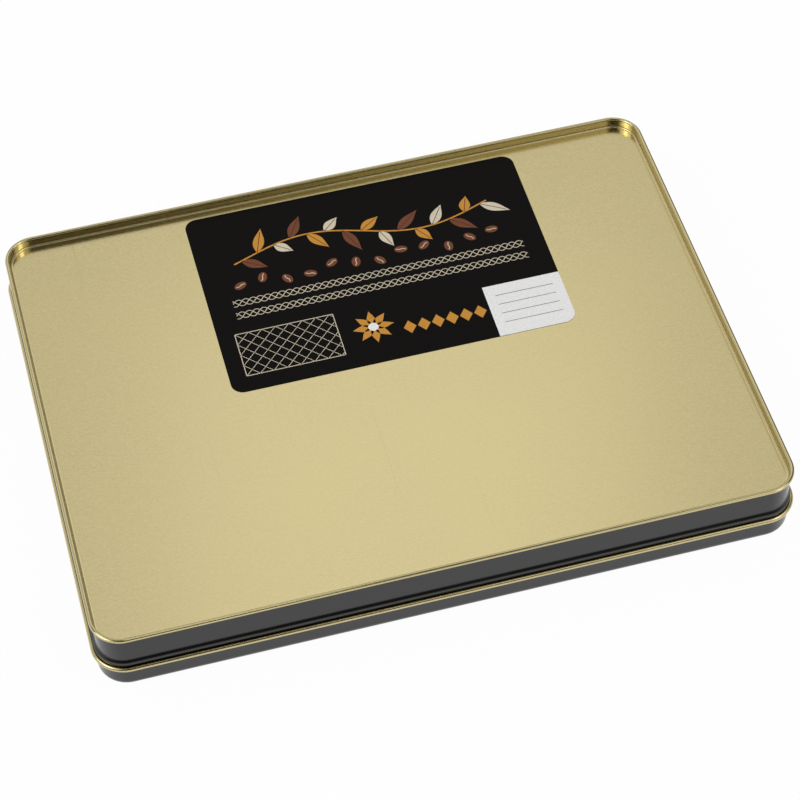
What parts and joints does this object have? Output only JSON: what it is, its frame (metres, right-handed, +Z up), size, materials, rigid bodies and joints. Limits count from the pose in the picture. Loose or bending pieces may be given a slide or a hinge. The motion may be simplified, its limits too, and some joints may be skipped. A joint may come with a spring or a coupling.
{
  "type": "chocolate tin",
  "caption": "Slim rectangular chocolate tin lying on its lift-off lid: recessed gold base with a sticker, black wall, and a tray of chocolates under a cover card inside.",
  "frame": {"origin": "middle of the lid's flat outer face, which lies on the table, because the tin is stored lying on its lid", "axes": "+X along the long side, +Y along the short side away from the pictured near edge, +Z up through the base; half a turn about X stands the tin on its base rim with its lid up"},
  "size_m": [0.2722, 0.2088, 0.03],
  "materials": {
    "black_tinplate": "gloss black lacquer",
    "gold_tinplate": "satin gold lacquer",
    "label_paper": "semi-gloss printed sticker",
    "cover_card": "embossed card",
    "tray_plastic": "thermoformed sheet",
    "caramel_chocolate": "enrobed",
    "white_chocolate": "enrobed",
    "milk_chocolate": "enrobed",
    "dark_chocolate": "enrobed",
    "nut": "roasted"
  },
  "bodies": {
    "lid": {"lid_shell": "black_tinplate"},
    "card": {"cover_card": "cover_card"},
    "chocolates": {"caramel_square_1": "caramel_chocolate", "caramel_square_2": "caramel_chocolate", "caramel_square_3": "caramel_chocolate", "caramel_square_4": "caramel_chocolate", "caramel_square_5": "caramel_chocolate", "white_square_1": "white_chocolate", "white_square_2": "white_chocolate", "white_square_3": "white_chocolate", "white_square_4": "white_chocolate", "white_square_5": "white_chocolate", "dark_speckled_1": "dark_chocolate", "dark_speckled_2": "dark_chocolate", "dark_speckled_3": "dark_chocolate", "dark_speckled_4": "dark_chocolate", "dark_speckled_5": "dark_chocolate", "milk_nibbed_1": "milk_chocolate", "milk_nibbed_2": "milk_chocolate", "milk_nibbed_3": "milk_chocolate", "milk_nibbed_4": "milk_chocolate", "milk_nibbed_5": "milk_chocolate", "milk_nut_1": "milk_chocolate", "milk_nut_2": "milk_chocolate", "milk_nut_3": "milk_chocolate", "milk_nut_4": "milk_chocolate", "milk_nut_5": "milk_chocolate", "dark_chipped_1": "dark_chocolate", "dark_chipped_2": "dark_chocolate", "dark_chipped_3": "dark_chocolate", "dark_chipped_4": "dark_chocolate", "dark_chipped_5": "dark_chocolate", "nut_pieces": "nut"},
    "tray": {"insert_tray": "tray_plastic"},
    "tin": {"tin_wall": "black_tinplate", "base_panel": "gold_tinplate", "base_label": "label_paper"}
  },
  "joints": [
    {"name": "lid_off", "type": "slide", "parent": "lid", "child": "card", "axis": [0, 0, 1], "range_m": [0, 0.03]},
    {"name": "card_off", "type": "slide", "parent": "card", "child": "chocolates", "axis": [0, 0, 1], "range_m": [0, 0.02]},
    {"name": "tray_lift", "type": "slide", "parent": "chocolates", "child": "tray", "axis": [0, 0, 1], "range_m": [0, 0.04]},
    {"name": "tin_lift", "type": "slide", "parent": "tray", "child": "tin", "axis": [0, 0, 1], "range_m": [0, 0.1]}
  ]
}
